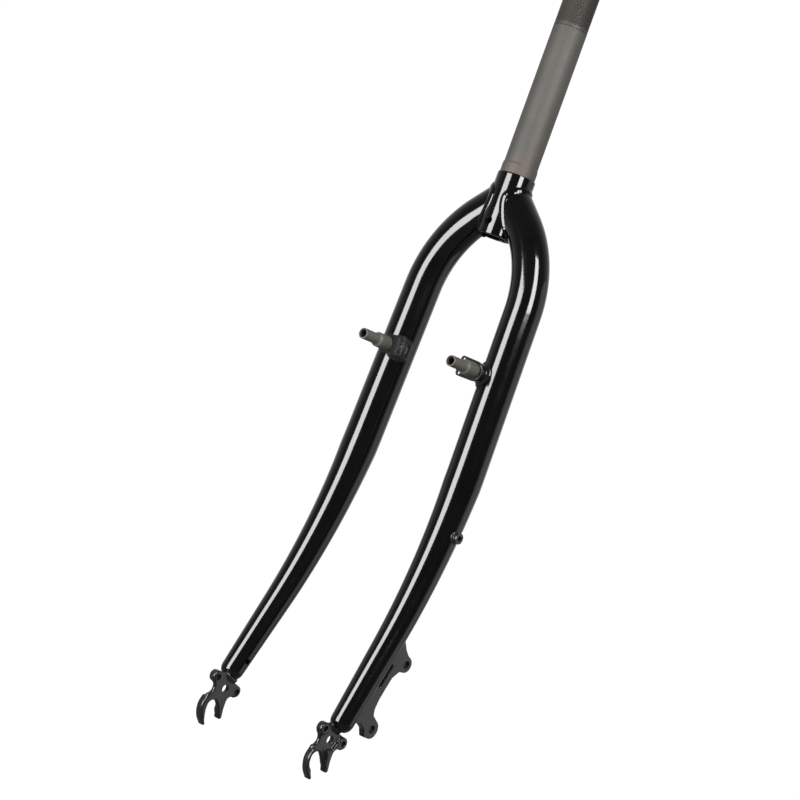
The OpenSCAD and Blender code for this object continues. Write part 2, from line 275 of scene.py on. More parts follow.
@dataclass(frozen=True)
class DrawnSteel:
    """Cold drawn and degreased steel, left bare for the headset.

    Drawing leaves faint lines along the tube, oil and flash rust stain it in warm patches, and
    the matt skin scatters the light, so that the tube looks evenly grey.
    """

    name: str
    colour: str
    light: str
    stain: str
    roughness: float
    metallic: float
    stain_from_mm: float = -60.0
    stain_to_mm: float = 60.0
    patch_mm: float = 26.0
    speckle_mm: float = 1.1
    line_mm: float = 0.55
    line_height_mm: float = 0.006
    squeezed: float = 0.02
    along: tuple[float, float, float] = (0, 0, 1)

    def make(self) -> bpy.types.Material:
        """Builds the material."""
        material, tree, shader, place = fresh_material(self.name)
        at = place.outputs["Object"]
        scale = [1 / (self.line_mm * MM) * (self.squeezed if a else 1.0) for a in self.along]
        lines_at = add(tree, "ShaderNodeMapping", {"Scale": scale}, {"Vector": at}).outputs[0]
        lines = add(tree, "ShaderNodeTexNoise", {"Scale": 1.0, "Detail": 3.0}, {"Vector": lines_at})
        patches = noise(tree, at, self.patch_mm, 6.0)
        mixed = add(
            tree,
            "ShaderNodeMath",
            {"operation": "MULTIPLY_ADD", 1: 0.55},
            {0: lines.outputs["Fac"], 2: patches},
        )
        tone = ramp(
            add(tree, "ShaderNodeValToRGB", links={"Fac": mixed.outputs[0]}),
            [(0.55, linear(self.colour)), (1.0, linear(self.light))],
        )
        height = add(tree, "ShaderNodeSeparateXYZ", links={"Vector": at}).outputs["Z"]
        low = spread(tree, height, (self.stain_from_mm * MM, self.stain_to_mm * MM), (1.0, 0.0))
        spots = spread(tree, patches, (0.42, 0.68), (0.0, 1.0))
        amount = add(tree, "ShaderNodeMath", {"operation": "MULTIPLY"}, {0: low, 1: spots})
        stained = add(
            tree,
            "ShaderNodeMix",
            {"data_type": "RGBA", 7: linear(self.stain)},
            {0: amount.outputs[0], 6: tone.outputs["Color"]},
        )
        tree.links.new(stained.outputs[2], shader.inputs["Base Color"])
        speckle = noise(tree, at, self.speckle_mm, 3.0)
        rough = spread(tree, speckle, (0.3, 0.7), (self.roughness - 0.06, self.roughness + 0.08))
        tree.links.new(rough, shader.inputs["Roughness"])
        normal = bump(tree, lines.outputs["Fac"], self.line_height_mm)
        tree.links.new(normal, shader.inputs["Normal"])
        shader.inputs["Metallic"].default_value = self.metallic
        return material


@dataclass(frozen=True)
class DullBore:
    """Inside of a drilled or drawn hole: dark scale and oil that swallow the light."""

    name: str = "scaled_bore"
    colour: str = "#1b1815"
    rust: str = "#2c211a"
    spot_mm: float = 6.0

    def make(self) -> bpy.types.Material:
        """Builds the material."""
        material, tree, shader, place = fresh_material(self.name)
        spots = noise(tree, place.outputs["Object"], self.spot_mm, 5.0)
        tone = ramp(
            add(tree, "ShaderNodeValToRGB", links={"Fac": spots}),
            [(0.4, linear(self.colour)), (0.7, linear(self.rust))],
        )
        tree.links.new(tone.outputs["Color"], shader.inputs["Base Color"])
        shader.inputs["Roughness"].default_value = 0.7
        shader.inputs["Metallic"].default_value = 0.3
        return material


TUBE_ENAMEL = GlossEnamel("gloss_black_enamel_on_tube")
SLEEVE_ENAMEL = GlossEnamel("gloss_black_enamel_on_sleeve", gloss=0.08)
# Painted light: this copy of the black enamel has a lighter base colour than the tube's. The lighter colour
# stands in for the side softbox's light on the brake bosses, spring plates and hose boss.
FITTING_ENAMEL_PAINTED_LIGHTER = GlossEnamel("black_enamel_on_machined_steel", gloss=0.15, colour="#121212", thin="#242424")
# Painted light: the base colours are lighter than the tube's black enamel and stand in for the lamps' light
# on the flat faces of the dropouts and the disc tab. The grain relief is the forging's own.
FORGED_ENAMEL_PAINTED_LIGHTER = GlossEnamel(
    "black_enamel_on_forged_steel",
    colour="#151515",
    thin="#1f1f1f",
    gloss=0.16,
    grain_mm=1.6,
    grain_height_mm=0.02,
)
BARE_TUBE = DrawnSteel("drawn_bare_steel", "#403e3a", "#474541", "#57443f", roughness=0.62, metallic=0.3)
CUT_THREAD = DrawnSteel(
    "oiled_cut_thread",
    "#3a3733",
    "#403d39",
    "#3b3733",
    roughness=0.55,
    metallic=0.3,
    stain_from_mm=100,
    stain_to_mm=170,
)
TURNED_STUD = DrawnSteel(
    "turned_bare_steel",
    "#4f504b",
    "#5b5c56",
    "#534f49",
    roughness=0.6,
    metallic=0.35,
    line_mm=0.35,
    along=(1, 0, 1),
)
BORE = DullBore()


def axes(x: Vector, y: Vector, z: Vector, place: Vector) -> Matrix:
    """Puts three axes and a place into one matrix."""
    rows = [(x[i], y[i], z[i], place[i]) for i in range(3)]
    return Matrix((*rows, (0, 0, 0, 1)))


def oriented(point: Vector, along: Vector, outward: Vector, wide: float, high: float) -> Matrix:
    """Frame of one section of a sweep.

    Args:
        point: Centre of the section.
        along: Direction of the sweep there.
        outward: Direction that the height of the section follows.
        wide: Half width of the section, across both directions.
        high: Half height of the section.

    Returns:
        The matrix that takes the unit circle to the section, in metres.
    """
    t = along.normalized()
    n = (outward - t * outward.dot(t)).normalized()
    b = t.cross(n)
    return axes(n * high * MM, b * wide * MM, t * high * MM, point * MM)


def sweep(
    bm: bmesh.types.BMesh, stations: Sequence[Matrix], segments: int, closed: bool = False
) -> list[list]:
    """Extrudes a ring from station to station.

    Args:
        bm: Mesh that gets the surface.
        stations: Frames of the sections in order.
        segments: Number of points round a section.
        closed: Whether the last section joins the first.

    Returns:
        The rings of vertices, whose points follow each other from ring to ring.
    """
    ring = bmesh.ops.create_circle(
        bm, cap_ends=False, radius=1.0, segments=segments, matrix=stations[0]
    )["verts"]
    start = {e for v in ring for e in v.link_edges}
    edges, rings = list(start), [list(ring)]
    for before, after in zip(stations, stations[1:]):
        made = bmesh.ops.extrude_edge_only(bm, edges=edges)["geom"]
        fresh = {g for g in made if isinstance(g, bmesh.types.BMVert)}
        edges = [g for g in made if isinstance(g, bmesh.types.BMEdge) and fresh.issuperset(g.verts)]
        ring = [next(o for e in v.link_edges if (o := e.other_vert(v)) in fresh) for v in rings[-1]]
        bmesh.ops.transform(bm, matrix=after @ before.inverted(), verts=ring)
        rings.append(ring)
    if closed:
        bmesh.ops.bridge_loops(bm, edges=[*start, *edges])
    return rings


def turned(bm: bmesh.types.BMesh, profile: Sequence[Pair], steps: int, rise: float = 0.0) -> list:
    """Spins a profile round the Z axis.

    Args:
        bm: Mesh that gets the surface.
        profile: Radius and height of each point, in millimetres.
        steps: Number of steps round the axis.
        rise: Height gained in a full turn, as a thread does.

    Returns:
        All the vertices of the surface.
    """
    known = set(bm.verts)
    points = [bm.verts.new((r * MM, 0, z * MM)) for r, z in profile]
    edges = [bm.edges.new(pair) for pair in zip(points, points[1:])]
    bmesh.ops.spin(
        bm,
        geom=points + edges,
        cent=(0, 0, 0),
        axis=(0, 0, 1),
        dvec=(0, 0, rise * MM / steps),
        angle=math.tau,
        steps=steps,
        use_merge=rise == 0,
        use_duplicate=False,
    )
    fresh = [v for v in bm.verts if v not in known]
    bmesh.ops.remove_doubles(bm, verts=fresh, dist=0.002 * MM)
    return [v for v in bm.verts if v not in known]


def rounded(profile: Sequence[tuple[float, float, float]], steps: int = 4) -> list[Pair]:
    """Rounds the corners of a profile.

    Args:
        profile: Radius, height and corner radius of each point, in millimetres.
        steps: Number of chords in each rounded corner.

    Returns:
        The profile with its corners rounded.
    """
    out: list[Pair] = []
    for i, (x, z, r) in enumerate(profile):
        if not r or i in (0, len(profile) - 1):
            out.append((x, z))
            continue
        here = Vector((x, z))
        a = (Vector(profile[i - 1][:2]) - here).normalized() * r
        b = (Vector(profile[i + 1][:2]) - here).normalized() * r
        for k in range(steps + 1):
            f = k / steps
            p = here + a * (1 - f) ** 2 + b * f**2
            out.append((p.x, p.y))
    return out


def placed(
    name: str, bm: bmesh.types.BMesh, materials: Sequence[bpy.types.Material] = ()
) -> bpy.types.Object:
    """Turns a mesh into an object of the scene.

    Args:
        name: Name of the object.
        bm: Its mesh, which is freed.
        materials: Materials in the order of the faces' numbers.

    Returns:
        The object.
    """
    mesh = bpy.data.meshes.new(name)
    bm.to_mesh(mesh)
    bm.free()
    for material in materials:
        mesh.materials.append(material)
    made = bpy.data.objects.new(name, mesh)
    bpy.context.scene.collection.objects.link(made)
    return made


def discard(made: bpy.types.Object) -> None:
    """Takes an object and its mesh out of the scene."""
    mesh = made.data
    bpy.data.objects.remove(made)
    bpy.data.meshes.remove(mesh)


def piece(
    name: str,
    bm: bmesh.types.BMesh,
    materials: Sequence[bpy.types.Material],
    stands_for: Sequence[str] = (),
    crease: float = 38.0,
    closed: bool = True,
) -> bpy.types.Object:
    """Turns a mesh into a piece that rides on the fork.

    Args:
        name: Name of the piece.
        bm: Its mesh, which is freed.
        materials: Finishes in the order of the faces' numbers.
        stands_for: CAD nodes that the piece is shown instead of.
        crease: Angle in degrees above which an edge stays sharp.
        closed: Whether the normals can be worked out again.

    Returns:
        The finished object.
    """
    if closed:
        bmesh.ops.recalc_face_normals(bm, faces=bm.faces)
    for face in bm.faces:
        face.smooth = True
    for edge in bm.edges:
        if len(edge.link_faces) == 2:
            edge.smooth = edge.calc_face_angle(0.0) < math.radians(crease)
    made = placed(name, bm, materials)
    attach(made, BODY)
    if stands_for:
        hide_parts(*stands_for)
    log.info("%s: %d faces", name, len(made.data.polygons))
    return made


def carve(bm: bmesh.types.BMesh, cutter: Builder, inside: int = 0) -> bmesh.types.BMesh:
    """Cuts the shape of a tool out of a mesh.

    Args:
        bm: Mesh to cut, which is freed.
        cutter: Function that builds the closed tool in an empty mesh.
        inside: Material number of the cut faces.

    Returns:
        The mesh with the cut.
    """
    tool_bm = bmesh.new()
    cutter(tool_bm)
    for face in tool_bm.faces:
        face.material_index = inside
    for source in (bm, tool_bm):
        bmesh.ops.recalc_face_normals(source, faces=source.faces)
    slots = [bpy.data.materials.new("work") for _ in range(inside + 1)]
    work, tool = placed("work", bm, slots), placed("tool", tool_bm, slots)
    cut = work.modifiers.new("cut", "BOOLEAN")
    cut.operation, cut.solver, cut.object = "DIFFERENCE", "EXACT", tool
    cut.material_mode = "INDEX"
    result = bmesh.new()
    result.from_object(work, bpy.context.evaluated_depsgraph_get())
    discard(work)
    discard(tool)
    for material in slots:
        bpy.data.materials.remove(material)
    return result


def sunk_drill(start: Vector, end: Vector, radius: float, flares: Pair) -> Builder:
    """Describes a tool for carve() that drills a plate and breaks both edges of the hole.

    Args:
        start: Centre of the hole on one face, in millimetres.
        end: Centre of the hole on the other face.
        radius: Radius of the hole.
        flares: Width of the 45 degree edge on either face.

    Returns:
        A function that builds the tool.
    """
    half, (low, high) = (end - start).length / 2, flares
    tip = half + OVERRUN
    profile = [(0, -tip), (radius + low + OVERRUN, -tip), (radius, low - half)]
    profile += [(radius, half - high), (radius + high + OVERRUN, tip), (0, tip)]
    turn = (end - start).to_track_quat("Z", "Y").to_matrix().to_4x4()
    place = Matrix.Translation((start + end) / 2 * MM) @ turn

    def build(bm: bmesh.types.BMesh) -> object:
        """Builds the tool in the given mesh."""
        made = turned(bm, profile, DRILL_SIDES)
        bmesh.ops.transform(bm, matrix=place, verts=made)
        return made

    return build


def drill(start: Vector, end: Vector, radius: float) -> Builder:
    """Describes a round tool for carve().

    Args:
        start: Centre of one end, in millimetres.
        end: Centre of the other end.
        radius: Radius of the tool.

    Returns:
        A function that builds the tool.
    """
    axis = end - start
    turn = axis.to_track_quat("Z", "Y").to_matrix().to_4x4()
    place = Matrix.Translation((start + end) / 2 * MM) @ turn

    def build(bm: bmesh.types.BMesh) -> object:
        """Builds the tool in the given mesh."""
        return bmesh.ops.create_cone(
            bm,
            cap_ends=True,
            segments=DRILL_SIDES,
            radius1=radius * MM,
            radius2=radius * MM,
            depth=axis.length * MM,
            matrix=place,
        )

    return build


def crown_hole(height: float = -37.5, radius: float = 3.1, reach: float = 20.0) -> Builder:
    """Describes the tool of the bolt hole that goes through the crown from front to back.

    Args:
        height: Height of the hole.
        radius: Its radius.
        reach: Distance of the tool's ends from the steerer's axis.

    Returns:
        A function that builds the tool.
    """
    return drill(Vector((0, -reach, height)), Vector((0, reach, height)), radius)


@dataclass(frozen=True)
class BladeLine:
    """Centreline and section of a fork blade, worked out as the CAD source does."""

    blade_d: float = 27.3
    tip_d: float = 16.7
    bend_r: float = 88.8
    root_angle: float = 47.3
    root_x: float = 18.9
    root_drop: float = 32.1
    root_start: float = 2.0
    rake_drop: float = 209.4
    rake_r: float = 455.0
    taper_drop: float = 225.0
    taper_power: float = 0.84
    axle_drop: float = 431.8
    rake: float = 57.3
    plate_x: float = 50.5
    crown_y: float = 1.0
    lean: float = 1.054
    tip_up: float = 22.5
    tip_back: float = 9.5
    tip_out: float = 4.8
    dome_len: float = 7.0
    dome_flat: float = 0.35
    root_chords: int = 6
    bend_chords: int = 48
    plain_steps: tuple[float, ...] = (20, 45, 70, 95)
    rake_lead: float = 8.0
    long_chords: int = 72
    dome_chords: int = 12

    @property
    def tip_drop(self) -> float:
        """Depth of the lower end of the blade."""
        return self.axle_drop - self.tip_up

    def mid_y(self, z: float) -> float:
        """Y of the straight part at height z."""
        return self.crown_y + z * math.tan(math.radians(self.lean))

    @property
    def splay(self) -> float:
        """Splay of the straight part, in radians."""
        root, s = math.radians(self.root_angle), 0.0
        for _ in range(8):
            out = self.plate_x + self.tip_out - self.root_x - self.bend_r * (math.cos(s) - math.cos(root))
            down = self.tip_drop - self.root_drop - self.bend_r * (math.sin(root) - math.sin(s))
            s = math.atan(out / down)
        return s

    @property
    def rake_angle(self) -> float:
        """Angle of the forward bend, in radians."""
        push = self.rake - self.tip_back + self.mid_y(-self.tip_drop)
        run, b = self.tip_drop - self.rake_drop, math.radians(10)
        for _ in range(12):
            b = math.atan((push - self.rake_r * (1 - math.cos(b))) / (run - self.rake_r * math.sin(b)))
        return b

    def shift(self, depth: float) -> float:
        """Forward shift at a depth below the start of the forward bend."""
        b, r = self.rake_angle, self.rake_r
        if depth <= 0:
            return 0.0
        if depth < r * math.sin(b):
            return r - math.sqrt(r * r - depth * depth)
        return r * (1 - math.cos(b)) + (depth - r * math.sin(b)) * math.tan(b)

    def straight(self, z: float) -> Vector:
        """Centre of the blade at height z, below the bend under the crown."""
        s, root = self.splay, math.radians(self.root_angle)
        arc_x = self.root_x + self.bend_r * (math.cos(s) - math.cos(root))
        arc_z = -self.root_drop - self.bend_r * (math.sin(root) - math.sin(s))
        return Vector((arc_x + (arc_z - z) * math.tan(s), self.mid_y(z) - self.shift(-self.rake_drop - z), z))

    def bend(self, angle: float) -> Vector:
        """Centre of the blade in the bend under the crown, at an angle from the vertical."""
        root = math.radians(self.root_angle)
        z = -self.root_drop - self.bend_r * (math.sin(root) - math.sin(angle))
        return Vector((self.root_x + self.bend_r * (math.cos(angle) - math.cos(root)), self.mid_y(z), z))

    def radius(self, z: float) -> float:
        """Outside radius of the blade at height z."""
        u = min(1.0, max(0.0, (-self.taper_drop - z) / (self.tip_drop - self.taper_drop)))
        return self.blade_d / 2 - (self.blade_d - self.tip_d) / 2 * u**self.taper_power

    def path(self) -> list[tuple[Vector, float]]:
        """Centres and radii of the whole blade, from the crown to the closed lower end."""
        root, s, full = math.radians(self.root_angle), self.splay, self.blade_d / 2
        start_z = -self.root_drop + (self.root_x - self.root_start) / math.tan(root)
        first = Vector((self.root_start, self.mid_y(start_z), start_z))
        chords = self.root_chords
        line = [(first.lerp(self.bend(root), k / chords), full) for k in range(chords)]
        chords = self.bend_chords
        line += [(self.bend(root + (s - root) * i / chords), full) for i in range(chords + 1)]
        end = line[-1][0].z
        line += [(self.straight(end - step), self.radius(end - step)) for step in self.plain_steps]
        low, high = -(self.tip_drop - self.dome_len), -self.rake_drop + self.rake_lead
        for i in range(self.long_chords + 1):
            z = high + (low + self.rake_drop - self.rake_lead) * i / self.long_chords
            line.append((self.straight(z), self.radius(z)))
        for i in range(1, self.dome_chords + 1):
            turn = math.pi / 2 * i / self.dome_chords
            z = low - self.dome_len * math.sin(turn)
            share = self.dome_flat + (1 - self.dome_flat) * math.cos(turn)
            line.append((self.straight(z), self.radius(low) * share))
        return line


LINE = BladeLine()


def mirrored(p: Vector, side: Side) -> Vector:
    """Moves a point of the left side to the given side."""
    return Vector((p.x * side.value, p.y, p.z))


def smooth_loop(points: Sequence[Vector], count: int) -> list[Vector]:
    """Spaces points evenly on the closed curve through the given ones.

    Args:
        points: Corners of the closed curve.
        count: Number of points wanted.

    Returns:
        The evenly spaced points, slightly smoothed.
    """
    ring = [p.copy() for p in points]
    for _ in range(2):
        ring = [(ring[i - 1] + ring[i] * 2 + ring[(i + 1) % len(ring)]) / 4 for i in range(len(ring))]
    lengths = [(ring[(i + 1) % len(ring)] - ring[i]).length for i in range(len(ring))]
    total, out, i, run = sum(lengths), [], 0, 0.0
    for k in range(count):
        want = total * k / count
        while run + lengths[i] < want:
            run += lengths[i]
            i += 1
        f = (want - run) / max(lengths[i], 1e-9)
        out.append(ring[i].lerp(ring[(i + 1) % len(ring)], f))
    return out


@dataclass(frozen=True)
class WeldBead:
    """Bead of a weld that runs round a joint, under the paint.

    The bead is laid in overlapping puddles, so its height and its course change a little from
    ripple to ripple.
    """

    wide: float
    high: float
    pitch: float
    unrest: float = 0.022
    wander: float = 0.06
    ripple_points: int = 10
    sides: int = 16

    def lay(
        self,
        name: str,
        finish: bpy.types.Material,
        points: Sequence[Vector],
        outward: Heading,
    ) -> bpy.types.Object:
        """Lays the bead along a closed curve, as a piece of its own.

        Args:
            name: Name of the piece.
            finish: Its finish.
            points: The curve, in millimetres.
            outward: Gives the direction in which the bead stands proud at a point.

        Returns:
            The bead.
        """
        bm = bmesh.new()
        self.fill(bm, points, outward)
        return piece(name, bm, [finish], crease=80)

    def fill(self, bm: bmesh.types.BMesh, points: Sequence[Vector], outward: Heading) -> None:
        """Adds the bead to a mesh.

        Args:
            bm: Mesh that gets the bead.
            points: The curve, in millimetres.
            outward: Gives the direction in which the bead stands proud at a point.
        """
        around = sum((points[i] - points[i - 1]).length for i in range(len(points)))
        ripples = max(3, round(around / self.pitch))
        count = ripples * self.ripple_points
        ring = smooth_loop(points, count)
        stations = []
        for i, p in enumerate(ring):
            turn = math.tau * i / count
            drift = math.sin(3 * turn + 0.7) + 0.6 * math.sin(7 * turn + 2.1)
            phase = ripples * turn + 1.1 * math.sin(5 * turn) + 0.8 * math.sin(11 * turn + 1.3)
            puddle = math.sin(phase) + 0.3 * math.sin(2 * phase + 0.6)
            swell = 1 + self.unrest * puddle * (0.7 + 0.3 * drift) + 0.05 * drift
            n = outward(p).normalized()
            t = ring[(i + 1) % count] - ring[i - 1]
            middle = p + n * self.wander * drift
            stations.append(oriented(middle, t, n, self.wide * swell, self.high * swell))
        sweep(bm, stations, self.sides, closed=True)


@dataclass
class Steerer:
    """Bare steerer tube with the seat of the crown race, a cut thread and a keyway."""

    radius: float = 12.7
    bore: float = 11.1
    low: float = -44.5
    top: float = 165.0
    seat_r: float = 13.2
    seat_h: float = 7.0
    seat_run: float = 1.5
    thread_low: float = 114.0
    pitch: float = 25.4 / 24
    depth: float = 0.58
    chamfer: float = 0.8
    key_w: float = 3.0
    key_floor: float = 11.8
    key_deep: float = 4.0
    key_over: float = 4.0
    steps: int = 96
    tooth: tuple[Pair, ...] = ((0.0, 1.0), (0.42, 0.06), (0.58, 0.06), (0.95, 1.0))
    fade_turns: float = 2.2
    rim_zone: float = 10.0

    def thread_profile(self) -> list[Pair]:
        """Points of the cut thread for a little more than its length, with its run-out."""
        out, z = [], self.thread_low - 2 * self.pitch
        while z < self.top + self.pitch:
            for share, sunk in self.tooth:
                at = z + share * self.pitch
                fade = min(1.0, max(0.0, (at - self.thread_low) / (self.fade_turns * self.pitch)))
                out.append((self.radius - self.depth * sunk * fade, at))
            z += self.pitch
        return out

    def build(
        self, bare: bpy.types.Material, cut: bpy.types.Material, dark: bpy.types.Material
    ) -> bpy.types.Object:
        """Builds the tube.

        Args:
            bare: Finish of the drawn outside.
            cut: Finish of the thread.
            dark: Finish of the bore.

        Returns:
            The tube.
        """
        bm = bmesh.new()
        threads = turned(bm, self.thread_profile(), self.steps, rise=self.pitch)
        for height, up in ((self.thread_low, -1), (self.top - self.chamfer, 1)):
            bmesh.ops.bisect_plane(
                bm,
                geom=bm.verts[:] + bm.edges[:] + bm.faces[:],
                plane_co=(0, 0, height * MM),
                plane_no=(0, 0, up),
                clear_outer=True,
                dist=1e-7,
            )
        for face in bm.faces:
            face.material_index = 1
        rest = [
            (self.radius, self.thread_low - 0.4, 0),
            (self.radius, self.seat_h + self.seat_run, 0.6),
            (self.seat_r, self.seat_h, 0.4),
            (self.seat_r, 0.0, 0.0),
            (self.radius, 0.0, 0.0),
            (self.radius, self.low, 0.4),
            (self.bore, self.low, 0.4),
            (self.bore, self.top, 0.35),
            (self.radius - self.chamfer, self.top, 0),
        ]
        turned(bm, rounded(rest), self.steps)
        rims = [e for e in bm.edges if e.is_boundary]
        split = self.top - self.rim_zone
        for upper in (False, True):
            rim = [e for e in rims if ((e.verts[0].co.z + e.verts[1].co.z) / 2 / MM > split) == upper]
            bmesh.ops.bridge_loops(bm, edges=rim)
        for face in bm.faces:
            middle = face.calc_center_median()
            if math.hypot(middle.x, middle.y) < (self.bore + 0.2) * MM:
                face.material_index = 2
        bm = carve(bm, crown_hole(), 2)
        bm = carve(bm, self.key_tool, 1)
        return piece("steerer_body", bm, [bare, cut, dark], ["steerer_tube"], crease=24)

    def key_tool(self, bm: bmesh.types.BMesh) -> None:
        """Builds the milled keyway as a block behind the thread."""
        made = bmesh.ops.create_cube(bm, size=1.0)["verts"]
        tall = self.top - self.thread_low + self.key_over
        bmesh.ops.scale(bm, vec=Vector((self.key_w, self.key_deep, tall)) * MM, verts=made)
        at = Vector((0, self.key_floor + self.key_deep / 2, self.thread_low + tall / 2)) * MM
        bmesh.ops.translate(bm, vec=at, verts=made)


@dataclass
class CrownSleeve:
    """Sleeve under the crown race that the two blades are welded to."""

    radius: float = 14.3
    bore: float = 12.75
    length: float = 47.0
    ring: float = 1.3
    seam: float = 2.0
    steps: int = 128

    def build(self, paint: bpy.types.Material) -> bpy.types.Object:
        """Builds the sleeve with its bolt hole and returns it."""
        bm = bmesh.new()
        outline = [
            (self.bore, -self.seam, 0),
            (self.bore, 0.0, 0.3),
            (self.radius, 0.0, 0.9),
            (self.radius, -self.ring, 0),
            (self.radius, self.ring - self.length, 0),
            (self.radius, -self.length, 0.9),
            (self.bore, -self.length, 0.4),
            (self.bore, -self.seam, 0),
        ]
        turned(bm, rounded(outline, 5), self.steps)
        bm = carve(bm, crown_hole())
        return piece("crown_sleeve_body", bm, [paint], ["crown_sleeve"])


@dataclass
class Blade:
    """One blade: a round tube bent out of the crown, raked forward and tapered to its end."""

    side: Side
    segments: int = 96
    sleeve_r: float = 14.3
    sink: float = 0.15
    coped_rings: int = 60
    vent_up: float = 15.0
    vent_r: float = 2.0

    def crossing(self, column: Sequence[Vector], radius: float) -> tuple[int, Vector]:
        """Finds where one line along the tube leaves a cylinder round the steerer axis.

        Args:
            column: Points of the line, from the crown outwards.
            radius: Radius of the cylinder.

        Returns:
            Number of the first point outside, and the place of the crossing.
        """
        out = next(i for i, p in enumerate(column) if math.hypot(p.x, p.y) > radius * MM)
        if out == 0:
            return 0, column[0].copy()
        a, b = column[out - 1], column[out]
        low, high = 0.0, 1.0
        for _ in range(30):
            mid = (low + high) / 2
            p = a.lerp(b, mid)
            low, high = (mid, high) if math.hypot(p.x, p.y) < radius * MM else (low, mid)
        return out, a.lerp(b, high)

    def build(self, paint: bpy.types.Material) -> tuple[bpy.types.Object, list[Vector]]:
        """Builds the blade.

        Args:
            paint: Finish of the blade.

        Returns:
            The blade, and the curve of its joint with the sleeve, in millimetres.
        """
        line = [(mirrored(p, self.side), r) for p, r in LINE.path()]
        stations = []
        for i, (p, r) in enumerate(line):
            t = line[min(i + 1, len(line) - 1)][0] - line[max(i - 1, 0)][0]
            stations.append(oriented(p, t, Vector((0, 1, 0)), r, r))
        bm = bmesh.new()
        rings = sweep(bm, stations, self.segments)
        joint = []
        for column in zip(*rings):
            points = [v.co.copy() for v in column]
            joint.append(self.crossing(points, self.sleeve_r)[1] / MM)
            out, place = self.crossing(points, self.sleeve_r - self.sink)
            for v in column[: max(out, 1)]:
                v.co = place
        coped = [v for ring in rings[: self.coped_rings] for v in ring]
        bmesh.ops.remove_doubles(bm, verts=coped, dist=1e-6)
        bmesh.ops.holes_fill(bm, edges=[e for e in bm.edges if e.is_boundary], sides=0)
        z = -LINE.tip_drop + self.vent_up
        middle = mirrored(LINE.straight(z), self.side)
        inward = Vector((-self.side.value * LINE.blade_d, 0, 0))
        bm = carve(bm, drill(middle, middle + inward, self.vent_r))
        node = f"{self.side.word}_blade"
        return piece(f"{node}_body", bm, [paint], [node]), joint


def softened(
    node: str, finish: bpy.types.Material, edge: float, crease: float = 40.0
) -> bpy.types.Object:
    """Shows a CAD node with its edges rounded, as paint or a file leaves them.

    Args:
        node: Name of the CAD node.
        finish: Material of the piece.
        edge: Width of the rounding, in millimetres.
        crease: Angle in degrees from which an edge is rounded.

    Returns:
        The piece.
    """
    bm = bmesh.new()
    bm.from_mesh(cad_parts[node].data)
    bmesh.ops.remove_doubles(bm, verts=bm.verts, dist=SAME_POINT)
    bmesh.ops.dissolve_limit(
        bm, angle_limit=math.radians(1.0), verts=bm.verts, edges=bm.edges, use_dissolve_boundaries=False
    )
    sharp = [e for e in bm.edges if len(e.link_faces) == 2 and e.calc_face_angle(0.0) > math.radians(crease)]
    bmesh.ops.bevel(
        bm,
        geom=sharp,
        offset=edge * MM,
        offset_type="OFFSET",
        segments=3,
        profile=0.5,
        affect="EDGES",
        clamp_overlap=True,
        material=-1,
        miter_outer="ARC",
    )
    return piece(f"{node}_body", bm, [finish], [node], crease=32, closed=False)


def forged(
    node: str,
    finishes: Sequence[bpy.types.Material],
    bead: Builder,
    holes: Sequence[Hole],
    grid: float = 0.35,
    passes: int = 26,
) -> bpy.types.Object:
    """Shows a CAD node as a forging with its weld: one skin, full edges and filled corners.

    Args:
        node: Name of the CAD node.
        finishes: Material of the skin, and of the holes if they have their own.
        bead: Adds the shells of the weld to the mesh.
        holes: Start, end, radius and broken edges of the holes, which are filled first and
            drilled after the smoothing, so that they stay round.
        grid: Size of the grid of the skin, in millimetres.
        passes: Number of smoothing passes, which set how full the edges are.

    Returns:
        The piece.
    """
    bm = bmesh.new()
    bm.from_mesh(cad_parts[node].data)
    bmesh.ops.remove_doubles(bm, verts=bm.verts, dist=SAME_POINT)
    bead(bm)
    for start, end, radius, _ in holes:
        drill(start, end, radius + PLUG_MARGIN)(bm)
    bmesh.ops.recalc_face_normals(bm, faces=bm.faces)
    work = placed("work", bm)
    skin = work.modifiers.new("skin", "REMESH")
    skin.mode, skin.voxel_size = "VOXEL", grid * MM
    result = bmesh.new()
    result.from_object(work, bpy.context.evaluated_depsgraph_get())
    discard(work)
    for _ in range(passes):
        bmesh.ops.smooth_vert(
            result, verts=result.verts, factor=0.5, use_axis_x=True, use_axis_y=True, use_axis_z=True
        )
    for hole in holes:
        result = carve(result, sunk_drill(*hole), len(finishes) - 1)
    return piece(f"{node}_body", result, finishes, [node], crease=32)


def across_plate(side: Side, place: Pair, faces: Pair, radius: float, flares: Pair) -> Hole:
    """Describes a hole of a plate for forged().

    Args:
        side: Side of the plate.
        place: Distance behind the axle and height over it.
        faces: X of the face towards the wheel and of the other one, on the left side.
        radius: Radius of the hole.
        flares: Width of its broken edges.

    Returns:
        Start, end, radius and broken edges of the hole.
    """
    at = (place[0] - LINE.rake, place[1] - LINE.axle_drop)
    start, end = (Vector((side.value * x, *at)) for x in faces)
    return start, end, radius, flares


